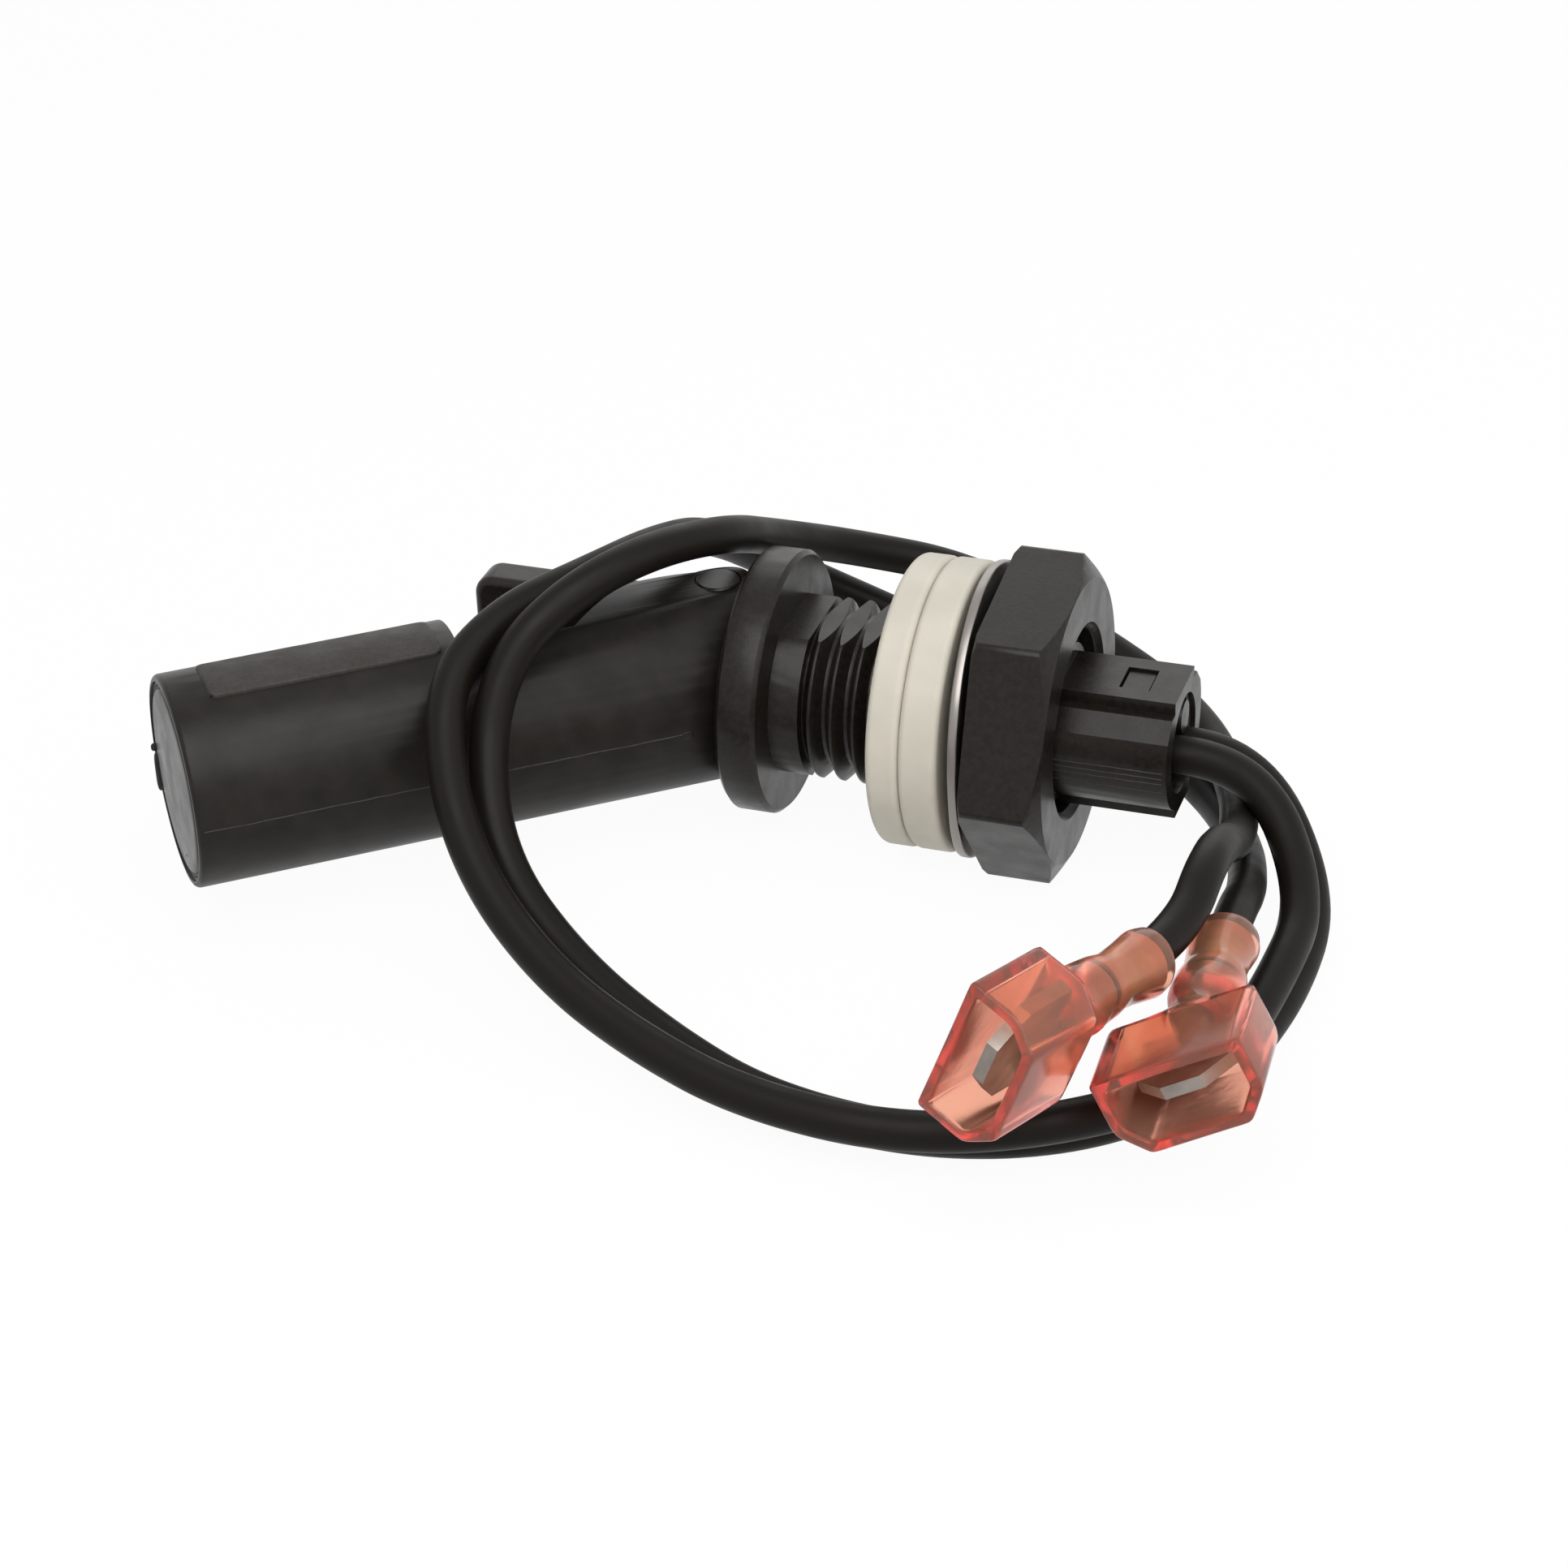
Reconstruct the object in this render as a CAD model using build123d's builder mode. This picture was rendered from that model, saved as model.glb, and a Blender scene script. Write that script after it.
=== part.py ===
from build123d import *
import os
from math import cos, sin, tan, radians

# Stem sizes in millimetres, read from the photo
thread_d = 12.0
thread_pitch = 1.5
thread_depth = 0.92
thread_start = 2.0
thread_turns = 11
flat_h = 5.1
collar_r = 5.95
flange_r = 8.8
flange_t = 2.77
arm_end = 22.2
arm_h = 5.45
arm_t = 3.0
tail_end = 26.2
tail_r = 4.85
strip_w = 2.6
strip_h = 3.75
shelf_h = 2.95
rib_w = 1.95
rib_h = 5.05
bore_r = 3.3
bore_z = -0.5
bore_start = 8.0
lead_bore_r = 2.2
window_x = 23.2
window_len = 2.0
window_w = 2.7
plug_start = 20.6
plug_inset = 0.3
tooth_gap = 0.25

# Hinge and float sizes
pin_x = -5.25
pin_r = 1.5
pin_h = 6.98
pin_gap = 0.06
open_angle = 38.5
float_r = 6.97
float_len = 37.05
float_wall = 1.0
cut_len = 18.2
cut_h = 5.65
cut_v = 2.0
heel = 2.2
arm_gap = 0.25
cap_seat = 1.7
cap_gap = 0.05
magnet_r = 1.5
magnet_v = 4.2
magnet_start = 8.2
magnet_len = 10.4
slope_end = 10.5
slope_foot = 4.1
pad_start = 19.45
pad_len = 14.95
pad_w = 4.2
pad_t = 0.18

# Reed switch and its leads
reed_r = 0.9
reed_start = -19.0
reed_len = 10.5
lead_r = 0.25
return_z = 1.7
joint_x = 12.0

# Seals, washer and nut
gasket_a = 7.65
gasket_b = 9.83
gasket_end = 12.4
washer_play = 0.3
washer_band = 3.5
washer_rim = 0.18
gasket_play = 0.15
washer_t = 0.7
washer_wave = 0.22
washer_x = 13.05
nut_wall = 3.5
nut_start = 14.07
nut_t = 5.2
nut_turn = 8.85
nut_gap = 0.05

# Wires, and where each one leaves the stem
wire_r = 1.25
wire_start = 17.0
wire_a_yz = (-1.3, -0.6)
wire_b_yz = (1.2, -1.35)
wire_gap = 0.12
table_z = -8.9
bend_room = 3.3

# Terminals: the mouth is the open end of the hood, and depths are measured from it
hood_w = 9.4
hood_h = 5.25
hood_side = 3.5
hood_cham = 1.95
hood_len = 7.4
hood_wall = 0.7
hood_floor = 0.9
shoulder = 1.1
neck_w = 3.9
neck_h = 3.5
neck_len = 1.6
barrel_w = 4.2
barrel_h = 3.8
barrel_drop = -0.7
barrel_bore_r = 1.52
term_len = 17.2
tab_w = 6.3
tab_t = 0.8
tab_depth = 1.0
tab_drop = -0.28
tab_point = 1.9
tab_stem_w = 1.8
crimp_r = 1.45
crimp_bore_r = 0.8
crimp_len = 3.4
core_r = 0.75
core_len = 2.8
ferrule_gap = 0.03
ferrule_inset = 0.4
wire_end = 12.2
terminal_a_place = ((34.98, -37.25, -1.38), 93.8, -3.4, -27.9)
terminal_b_place = ((25.02, -43.8, 3.02), 68.9, -7.3, -71.2)

os.makedirs("parts", exist_ok=True)


def finish(builder, label):
    """Label a finished piece, report it and write its STEP file."""
    builder.part.label = label
    export_step(builder.part, f"parts/{label}.step")
    solids = len(builder.part.solids())
    print(f"{label}: {builder.part.volume:.2f} mm3, valid {builder.part.is_valid}, solids {solids}")


# Stem body: one moulding with arm, trunnions, flange, interrupted thread and tail
thread_r = thread_d / 2
root_r = thread_r - thread_depth
thread_end = thread_start + thread_turns * thread_pitch
flank = thread_depth * 0.577
crest = thread_pitch / 8
ridge_points = []
for turn in range(thread_turns):
    ridge_x = thread_start + turn * thread_pitch + thread_pitch / 2
    ridge_points += [
        (ridge_x - crest / 2 - flank, root_r),
        (ridge_x - crest / 2, thread_r),
        (ridge_x + crest / 2, thread_r),
        (ridge_x + crest / 2 + flank, root_r),
    ]

with BuildPart() as stem_body:
    with BuildSketch(Plane.XZ.offset(-arm_t / 2)):
        with Locations((-(arm_end + flange_t) / 2 + 0.5, 0)):
            Rectangle(arm_end - flange_t + 1, 2 * arm_h)
        fillet(vertices().group_by(Axis.X)[0], 1.3)
    extrude(amount=arm_t)
    fillet(edges().filter_by(Axis.X), 0.6)
    with BuildSketch(Plane.XY.offset(-pin_h)):
        with Locations((pin_x, 0)):
            Circle(pin_r)
    extrude(amount=2 * pin_h)
    chamfer(faces().sort_by(Axis.Z)[-1].edges() + faces().sort_by(Axis.Z)[0].edges(), 0.12)
    with BuildSketch(Plane.YZ.offset(-flange_t)) as flange_face:
        Circle(flange_r)
    extrude(amount=flange_t)
    chamfer(edges().filter_by(GeomType.CIRCLE).filter_by(lambda e: e.radius > flange_r - 0.1), 0.3)
    with BuildSketch(Plane.XZ) as thread_profile:
        with BuildLine():
            Polyline(
                (-flange_t / 2, 0),
                (-flange_t / 2, collar_r),
                (thread_start, collar_r),
                (thread_start, root_r),
                *ridge_points,
                (thread_end, root_r),
                (thread_end, 0),
                close=True,
            )
        make_face()
    revolve(axis=Axis.X)
    for way in (1, -1):
        with BuildSketch(Plane.XY.offset(way * flat_h)):
            with Locations((thread_end / 2, 0)):
                Rectangle(thread_end, 2 * thread_r + 1)
        extrude(amount=way * 2, mode=Mode.SUBTRACT)
    with BuildSketch(Plane.YZ.offset(thread_end)):
        with BuildLine():
            Polyline((0, strip_h), (strip_w, strip_h), (strip_w, shelf_h), (3.4, shelf_h), (4.52, 1.76))
            ThreePointArc((4.52, 1.76), (tail_r * cos(radians(-25)), tail_r * sin(radians(-25))), (rib_w, -4.44))
            Polyline((rib_w, -4.44), (rib_w, -rib_h), (0, -rib_h))
            mirror(about=Plane.YZ)
        make_face()
    extrude(amount=tail_end - thread_end)
    with BuildSketch(Plane.YZ.offset(tail_end)):
        with Locations((0, bore_z)):
            Circle(bore_r)
    extrude(amount=-(tail_end - bore_start), mode=Mode.SUBTRACT)
    with BuildSketch(Plane.YZ.offset(bore_start)):
        Circle(lead_bore_r)
    extrude(amount=-(bore_start + 2.0), mode=Mode.SUBTRACT)
    with BuildSketch(Plane.YZ.offset(0)):
        with Locations((0, 0.62)):
            Rectangle(2.0, 3.35)
    extrude(amount=-20.3, mode=Mode.SUBTRACT)
    with BuildSketch(Plane.XY.offset(2.0)):
        with Locations((window_x, 0)):
            Rectangle(window_len, window_w)
    extrude(amount=3, mode=Mode.SUBTRACT)
finish(stem_body, "stem_body")

# Wire plug: snaps into the tail with a tooth in the window
with BuildPart() as wire_plug:
    with BuildSketch(Plane.YZ.offset(plug_start)):
        with Locations((0, bore_z)):
            Circle(bore_r - cap_gap)
    extrude(amount=tail_end - plug_inset - plug_start)
    with BuildSketch(Plane.YZ.offset(plug_start)):
        with Locations(wire_a_yz, wire_b_yz):
            Circle(wire_r + wire_gap)
        with Locations((-0.05, -2.8)):
            Rectangle(4.6, 3.4)
    extrude(amount=6, mode=Mode.SUBTRACT)
    with BuildSketch(Plane.XY.offset(2.0)):
        with Locations((window_x, 0)):
            Rectangle(window_len - tooth_gap, window_w - tooth_gap)
    extrude(amount=1.55)
    with BuildSketch(Plane.YZ.offset(tail_end - plug_inset)):
        with Locations((0.5, 1.15)):
            Circle(1.45)
            Circle(1.1, mode=Mode.SUBTRACT)
    extrude(amount=-0.35, mode=Mode.SUBTRACT)
    with BuildSketch(Plane.YZ.offset(tail_end - plug_inset - 0.1)):
        with Locations((0.5, 1.15)):
            Circle(1.1)
    extrude(amount=0.35)
finish(wire_plug, "wire_plug")

# Potting: sealing resin round the soldered joints
potting_end = plug_start - 0.1
with BuildPart() as potting_fill:
    with BuildSketch(Plane.YZ.offset(joint_x - 1.5)):
        with Locations((0, bore_z)):
            Circle(bore_r - 0.02)
        with Locations(wire_a_yz, wire_b_yz):
            Circle(0.47, mode=Mode.SUBTRACT)
    extrude(amount=potting_end - joint_x + 1.5)
    with BuildSketch(Plane.YZ.offset(potting_end)):
        with Locations(wire_a_yz, wire_b_yz):
            Circle(wire_r + 0.02)
    extrude(amount=-(potting_end - wire_start + 0.05), mode=Mode.SUBTRACT)
finish(potting_fill, "potting_fill")

# Reed capsule: a glass tube closed at both ends round the blade stems
with BuildPart() as reed_capsule:
    with BuildSketch(Plane.YZ.offset(reed_start)):
        Circle(reed_r)
    extrude(amount=reed_len)
    fillet(edges(), 0.35)
    with BuildSketch(Plane.YZ.offset(reed_start + 1.2)):
        Circle(reed_r - 0.25)
    extrude(amount=reed_len - 2.4, mode=Mode.SUBTRACT)
    with BuildSketch(Plane.YZ.offset(reed_start)):
        Circle(lead_r + 0.01)
    extrude(amount=reed_len, mode=Mode.SUBTRACT)
finish(reed_capsule, "reed_capsule")

# Reed blades: each is a flat contact with its lead out to the solder joint
reed_end = reed_start + reed_len
with BuildPart() as reed_blade_a:
    with BuildLine():
        FilletPolyline(
            (reed_end - 1.3, 0, 0), (3.0, 0, 0), (6.0, *wire_a_yz), (joint_x, *wire_a_yz), radius=0.8
        )
    with BuildSketch(Plane.YZ.offset(reed_end - 1.3)):
        Circle(lead_r)
    sweep()
    with Locations((reed_end - 3.4, 0, 0.12)):
        Box(4.4, 0.9, 0.18)
finish(reed_blade_a, "reed_blade_a")

with BuildPart() as reed_blade_b:
    with BuildLine():
        FilletPolyline(
            (reed_start + 1.3, 0, 0),
            (reed_start - 0.7, 0, 0),
            (reed_start - 0.7, 0, return_z),
            (3.0, 0, return_z),
            (6.0, *wire_b_yz),
            (joint_x, *wire_b_yz),
            radius=0.5,
        )
    with BuildSketch(Plane(origin=(reed_start + 1.3, 0, 0), x_dir=(0, 1, 0), z_dir=(-1, 0, 0))):
        Circle(lead_r)
    sweep()
    with Locations((reed_start + 3.6, 0, -0.12)):
        Box(4.8, 0.9, 0.18)
finish(reed_blade_b, "reed_blade_b")

# Stripped tails: the bare strands between each insulated wire and its reed lead
for letter, place in (("a", wire_a_yz), ("b", wire_b_yz)):
    with BuildPart() as stripped_tail:
        with BuildSketch(Plane.YZ.offset(joint_x)):
            with Locations(place):
                Circle(0.45)
        extrude(amount=wire_start - joint_x)
    finish(stripped_tail, f"stripped_tail_{letter}")

# Float frame: X runs out along the float, Y towards its near side, Z up the pin
far = Vector(-cos(radians(open_angle)), -sin(radians(open_angle)), 0)
hinge = Vector(pin_x, 0, 0)
float_plan = Plane(origin=hinge, x_dir=far, z_dir=(0, 0, 1))


def across_float(distance):
    """Return the plane square to the float at a distance from the pin, with X up."""
    return Plane(origin=hinge + far * distance, x_dir=(0, 0, 1), z_dir=far)


turn_cos = cos(radians(open_angle))
turn_sin = sin(radians(open_angle))
bevel_top = 8.0

with BuildPart() as float_shell:
    with BuildSketch(across_float(-4)):
        Circle(float_r)
    extrude(amount=float_len + 4)
    fillet(edges().filter_by(GeomType.CIRCLE).sort_by_distance(hinge)[-1], 0.35)
    with BuildSketch(float_plan.offset(-float_r - 1)):
        with BuildLine():
            Polyline(
                (-heel * turn_cos, heel * turn_sin),
                ((bevel_top * turn_sin - heel) / turn_cos, bevel_top),
                (float_len + 1, bevel_top),
                (float_len + 1, -bevel_top),
                (cut_len, -bevel_top),
                (cut_len, cut_v),
                (slope_end, cut_v),
                (slope_foot, -3.5),
                (heel * cos(radians(-66)), heel * sin(radians(-66))),
            )
            CenterArc((0, 0), heel, -66, -180 + 66 - open_angle)
        make_face()
    extrude(amount=2 * float_r + 2, mode=Mode.INTERSECT)
    slot_lean = arm_t / 2 + arm_gap
    with BuildSketch(float_plan.offset(-cut_h)):
        with BuildLine():
            Polyline(
                (-4, -bevel_top),
                (cut_len, -bevel_top),
                (cut_len, cut_v),
                ((slot_lean - cut_v * turn_cos) / turn_sin, cut_v),
                (-4 * turn_cos + slot_lean * turn_sin, 4 * turn_sin + slot_lean * turn_cos),
                (-4, 4),
                close=True,
            )
        make_face()
    extrude(amount=2 * cut_h, mode=Mode.SUBTRACT)
    with BuildSketch(float_plan.offset(-float_r - 1)):
        Circle(pin_r + pin_gap)
    extrude(amount=2 * float_r + 2, mode=Mode.SUBTRACT)
    with BuildSketch(across_float(float_len)):
        Circle(float_r - float_wall)
    extrude(amount=-(float_len - cut_len - 1.4), mode=Mode.SUBTRACT)
    with BuildSketch(across_float(float_len)):
        Circle(float_r - 0.45)
    extrude(amount=-cap_seat, mode=Mode.SUBTRACT)
    with BuildSketch(across_float(cut_len + 2)):
        with Locations((0, -magnet_v)):
            Circle(magnet_r + 0.03)
    extrude(amount=-12.5, mode=Mode.SUBTRACT)
    with BuildSketch(across_float(pad_start)):
        with Locations((float_r, 0)):
            Rectangle(1.2, pad_w)
        Circle(float_r + pad_t, mode=Mode.INTERSECT)
    extrude(amount=pad_len)
finish(float_shell, "float_shell")

with BuildPart() as float_end_cap:
    with BuildSketch(across_float(float_len - cap_seat + cap_gap)):
        Circle(float_r - 0.45 - cap_gap)
    extrude(amount=cap_seat - cap_gap - 0.2)
    with BuildSketch(across_float(float_len - cap_seat + cap_gap)):
        Circle(float_r - float_wall - 0.03)
        Circle(float_r - float_wall - 0.9, mode=Mode.SUBTRACT)
    extrude(amount=-1.6)
    with BuildSketch(across_float(float_len - 0.2)):
        Circle(5.95)
        Circle(5.6, mode=Mode.SUBTRACT)
    extrude(amount=-0.3, mode=Mode.SUBTRACT)
    with BuildSketch(across_float(float_len - 0.25)):
        Circle(1.5)
        with Locations((-4.6, -1.6)):
            Circle(0.25)
    extrude(amount=0.3)
finish(float_end_cap, "float_end_cap")

with BuildPart() as float_magnet:
    with BuildSketch(across_float(magnet_start)):
        with Locations((0, -magnet_v)):
            Circle(magnet_r)
    extrude(amount=magnet_len)
    chamfer(edges(), 0.15)
finish(float_magnet, "float_magnet")

# Gaskets: two plain rubber rings with rounded rims, a little smaller than the washer
washer_hole_r = thread_r + washer_play
washer_r = washer_hole_r + washer_band
gasket_r = washer_r - washer_rim
gasket_hole_r = thread_r + gasket_play
for label, start, end in (("gasket_inner", gasket_a, gasket_b), ("gasket_outer", gasket_b, gasket_end)):
    with BuildPart() as gasket:
        with BuildSketch(Plane.YZ.offset(start)):
            Circle(gasket_r)
            Circle(gasket_hole_r, mode=Mode.SUBTRACT)
        extrude(amount=end - start)
        fillet(edges().filter_by(GeomType.CIRCLE).filter_by(lambda e: e.radius > gasket_r - 0.1), 0.45)
    finish(gasket, label)

# Wave washer: flat strip sections lofted round a circle that rises and falls four times
washer_mid = (washer_r + washer_hole_r) / 2
with BuildPart() as wave_washer:
    for half in (0, 180):
        for step in range(0, 181, 15):
            angle = half + step
            lift = washer_wave * cos(radians(4 * (angle - 51)))
            outward = Vector(0, -cos(radians(angle)), sin(radians(angle)))
            along = Vector(0, sin(radians(angle)), cos(radians(angle)))
            middle = outward * washer_mid + Vector(washer_x - lift, 0, 0)
            with BuildSketch(Plane(origin=middle, x_dir=outward, z_dir=along)):
                Rectangle(washer_r - washer_hole_r, washer_t)
        loft()
finish(wave_washer, "wave_washer")

# Lock nut: a hexagon with both faces chamfered
nut_af = thread_d + 2 * nut_wall
corner_r = nut_af / 2 / cos(radians(30))
with BuildPart() as lock_nut:
    with BuildSketch(Plane.YZ.offset(nut_start)):
        RegularPolygon(corner_r, 6, rotation=nut_turn)
        fillet(vertices(), 0.5)
    extrude(amount=nut_t)
    with BuildSketch(Plane.XZ):
        with BuildLine():
            Polyline(
                (nut_start, 0),
                (nut_start, corner_r - 0.5),
                (nut_start + 0.3, corner_r + 0.02),
                (nut_start + nut_t - 0.9, corner_r + 0.02),
                (nut_start + nut_t, nut_af / 2 - 0.1),
                (nut_start + nut_t, 0),
                close=True,
            )
        make_face()
    revolve(axis=Axis.X, mode=Mode.INTERSECT)
    with BuildSketch(Plane.YZ.offset(nut_start)):
        Circle(thread_r + nut_gap)
    extrude(amount=nut_t, mode=Mode.SUBTRACT)
    chamfer(edges().filter_by(GeomType.CIRCLE).filter_by(lambda e: e.radius < thread_r + 0.1), 0.45)
finish(lock_nut, "lock_nut")


def terminal_plane(mouth, heading, slope, roll):
    """Return a terminal's frame: Z runs from the mouth to the wire, X across the tab."""
    along = Vector(
        cos(radians(heading)) * cos(radians(slope)),
        sin(radians(heading)) * cos(radians(slope)),
        sin(radians(slope)),
    )
    level = Vector(sin(radians(heading)), -cos(radians(heading)), 0)
    return Plane(origin=mouth, x_dir=level.rotate(Axis((0, 0, 0), along), roll), z_dir=along)


def in_barrel(frame, depth):
    """Return the point on a terminal's barrel axis at a depth from the mouth."""
    return tuple(frame.from_local_coords(Vector(0, barrel_drop, depth)))


# Lead wires: hand-chosen routes from inside the stem, once round the loop and into a terminal
terminal_a = terminal_plane(*terminal_a_place)
terminal_b = terminal_plane(*terminal_b_place)
route_a = [
    (wire_start, *wire_a_yz),
    (22.0, *wire_a_yz),
    (31.5, -1.4, -0.65),
    (36.5, -8.5, -5.5),
    (36.0, -18.0, -6.2),
    (34.5, -27.6, -6.7),
    (27.5, -34.2, -6.7),
    (18.5, -37.5, -7.0),
    (8.5, -36.5, -7.0),
    (1.0, -34.0, -6.0),
    (-5.5, -31.0, -4.5),
    (-11.5, -27.0, -1.5),
    (-15.5, -22.5, 2.5),
    (-17.5, -17.0, 7.0),
    (-15.5, -11.5, 9.0),
    (-12.0, -6.5, 9.5),
    (-9.0, -0.5, 9.5),
    (-8.0, 6.0, 7.0),
    (-6.0, 12.5, 2.0),
    (0.5, 17.5, -3.5),
    (9.5, 18.0, -7.0),
    (18.0, 15.5, -8.5),
    (25.0, 9.5, table_z),
    (30.0, 1.5, -8.0),
    (32.5, -8.0, -5.5),
    in_barrel(terminal_a, term_len + bend_room),
    in_barrel(terminal_a, wire_end),
]
route_b = [
    (wire_start, *wire_b_yz),
    (22.0, *wire_b_yz),
    (31.0, 1.1, -1.4),
    (36.5, -5.0, -7.5),
    (36.5, -14.5, table_z),
    (34.5, -24.0, table_z),
    (28.5, -31.5, table_z),
    (19.5, -35.0, table_z),
    (9.5, -34.0, table_z),
    (2.0, -30.5, -8.5),
    (-5.5, -27.0, -6.5),
    (-12.0, -23.0, -2.5),
    (-14.5, -18.5, 3.0),
    (-14.0, -15.0, 8.0),
    (-11.0, -11.5, 11.0),
    (-7.5, -6.5, 12.0),
    (-4.5, 0.0, 10.5),
    (-4.0, 8.0, 6.3),
    (-1.0, 15.0, 2.5),
    (6.5, 18.5, 0.0),
    (15.0, 18.0, -3.5),
    (24.0, 13.0, -5.5),
    (29.0, 4.5, -6.0),
    (31.5, -7.0, -3.0),
    (32.0, -17.0, 3.0),
    in_barrel(terminal_b, term_len + bend_room),
    in_barrel(terminal_b, wire_end),
]


def bend_radii(route):
    """Return one bend radius for each corner, as large as the shorter run beside it allows."""
    radii = []
    for before, corner, after in zip(route, route[1:], route[2:]):
        run_in = Vector(*corner) - Vector(*before)
        run_out = Vector(*after) - Vector(*corner)
        turn = max(run_in.get_angle(run_out), 1.0)
        shorter = min(run_in.length, run_out.length)
        radii.append(0.45 * shorter / tan(radians(turn / 2)))
    return radii


for letter, route in (("a", route_a), ("b", route_b)):
    radii = bend_radii(route)
    print(f"wire {letter} bend radii", [round(radius, 1) for radius in radii])
    with BuildPart() as lead_wire:
        with BuildLine() as wire_line:
            FilletPolyline(*route, radius=radii)
        with BuildSketch(Plane.YZ.offset(wire_start)):
            with Locations(route[0][1:]):
                Circle(wire_r)
        sweep()
    tube_volume = 3.14159 * wire_r**2 * wire_line.wire().length
    print(f"wire {letter} length {wire_line.wire().length:.1f}, volume share {lead_wire.part.volume / tube_volume:.4f}")
    finish(lead_wire, f"lead_wire_{letter}")


def hood_corners(inset):
    """Return the corners of the hood's section: a flat box with two corners cut, shrunk by inset."""
    half = hood_w / 2 - inset
    top = -hood_h / 2 + inset
    low = hood_h / 2 - inset
    knee = -hood_h / 2 + hood_side - inset * tan(radians(22))
    cham = hood_cham - inset * tan(radians(20))
    return [(-half, top), (half, top), (half, knee), (half - cham, low), (cham - half, low), (-half, knee)]


# Terminals: a clear nylon sleeve, a plated tab with its crimp, and a support ferrule on each wire
for letter, frame in (("a", terminal_a), ("b", terminal_b)):
    depth = Axis(frame.origin, frame.z_dir)
    with BuildPart() as terminal_sleeve:
        with BuildSketch(frame):
            with BuildLine():
                Polyline(*hood_corners(0), close=True)
            make_face()
        extrude(amount=hood_len)
        chamfer(faces().sort_by(depth)[-1].edges(), shoulder)
        with BuildSketch(frame.offset(hood_len - hood_floor)):
            with Locations((0, barrel_drop)):
                Ellipse(neck_w / 2, neck_h / 2)
        extrude(amount=hood_floor + neck_len)
        with BuildSketch(frame.offset(hood_len + neck_len)):
            with Locations((0, barrel_drop)):
                Ellipse(barrel_w / 2, barrel_h / 2)
        extrude(amount=term_len - hood_len - neck_len)
        fillet(faces().sort_by(depth)[-1].edges(), 0.25)
        with BuildSketch(frame):
            with BuildLine():
                Polyline(*hood_corners(hood_wall), close=True)
            make_face()
        extrude(amount=hood_len - hood_floor, mode=Mode.SUBTRACT)
        with BuildSketch(frame.offset(hood_len - hood_floor)):
            with Locations((0, barrel_drop)):
                Circle(barrel_bore_r)
        extrude(amount=term_len, mode=Mode.SUBTRACT)
    finish(terminal_sleeve, f"terminal_sleeve_{letter}")

    with BuildPart() as terminal_tab:
        with BuildSketch(frame.offset(tab_depth)):
            with Locations((0, tab_drop)):
                Rectangle(tab_w, tab_t)
        extrude(amount=hood_len - hood_floor - tab_depth)
        tip_edges = edges().filter_by(Axis(frame.origin, frame.y_dir)).group_by(depth)[0]
        chamfer(tip_edges, tab_point)
        with BuildSketch(frame.offset(hood_len - hood_floor)):
            with Locations((0, tab_drop)):
                Rectangle(tab_stem_w, tab_t)
        extrude(amount=wire_end - core_len - hood_len + hood_floor)
        with BuildSketch(frame.offset(wire_end - core_len)):
            with Locations((0, barrel_drop)):
                Circle(crimp_r)
        extrude(amount=-crimp_len / 2)
        with BuildSketch(frame.offset(wire_end - core_len)):
            with Locations((0, barrel_drop)):
                Circle(crimp_r)
                Circle(crimp_bore_r, mode=Mode.SUBTRACT)
        extrude(amount=core_len - ferrule_inset)
    finish(terminal_tab, f"terminal_tab_{letter}")

    with BuildPart() as support_ferrule:
        with BuildSketch(frame.offset(wire_end)):
            with Locations((0, barrel_drop)):
                Circle(barrel_bore_r - ferrule_gap)
                Circle(wire_r + ferrule_gap, mode=Mode.SUBTRACT)
        extrude(amount=term_len - wire_end - ferrule_inset)
    finish(support_ferrule, f"support_ferrule_{letter}")

    with BuildPart() as stripped_end:
        with BuildSketch(frame.offset(wire_end)):
            with Locations((0, barrel_drop)):
                Circle(core_r)
        extrude(amount=-core_len)
    finish(stripped_end, f"stripped_end_{letter}")
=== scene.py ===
"""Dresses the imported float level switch: camera, wires, finishes and fine moulded detail."""

import math

import bmesh
import bpy
import numpy as np
from bpy.props import FloatProperty, FloatVectorProperty, IntProperty, PointerProperty
from mathutils import Matrix, Vector


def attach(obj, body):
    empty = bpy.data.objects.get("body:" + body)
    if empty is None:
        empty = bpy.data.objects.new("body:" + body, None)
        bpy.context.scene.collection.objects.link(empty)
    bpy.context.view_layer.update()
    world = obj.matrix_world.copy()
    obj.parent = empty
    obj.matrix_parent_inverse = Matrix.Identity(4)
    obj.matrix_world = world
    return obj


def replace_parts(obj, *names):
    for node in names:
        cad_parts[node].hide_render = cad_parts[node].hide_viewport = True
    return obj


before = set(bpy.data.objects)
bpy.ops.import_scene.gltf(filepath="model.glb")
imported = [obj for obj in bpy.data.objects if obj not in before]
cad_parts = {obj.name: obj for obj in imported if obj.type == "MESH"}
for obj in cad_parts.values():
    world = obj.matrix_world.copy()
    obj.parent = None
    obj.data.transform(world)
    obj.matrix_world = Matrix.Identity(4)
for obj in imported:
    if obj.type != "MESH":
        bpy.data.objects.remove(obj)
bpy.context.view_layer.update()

bl_info = {
    "name": "Float level switch",
    "version": (1, 0, 0),
    "blender": (4, 5, 0),
    "location": "View3D > Sidebar > Float switch",
    "description": "Builds the looks of a side-mounted float level switch around its CAD parts",
    "category": "Object",
}

MM = 0.001
FULL_TURN = 2 * math.pi
WHITE = (1.0, 1.0, 1.0, 1.0)

# Places shared with the CAD source, in millimetres
HINGE = np.array([-5.25, 0.0, 0.0])
OPEN_ANGLE = math.radians(38.5)
FLOAT_RADIUS = 6.97
FLOAT_LENGTH = 37.05
TABLE_HEIGHT = -10.19
TAIL_RADIUS = 4.85
TAIL_SPAN = (15.6, 26.0)

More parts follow.
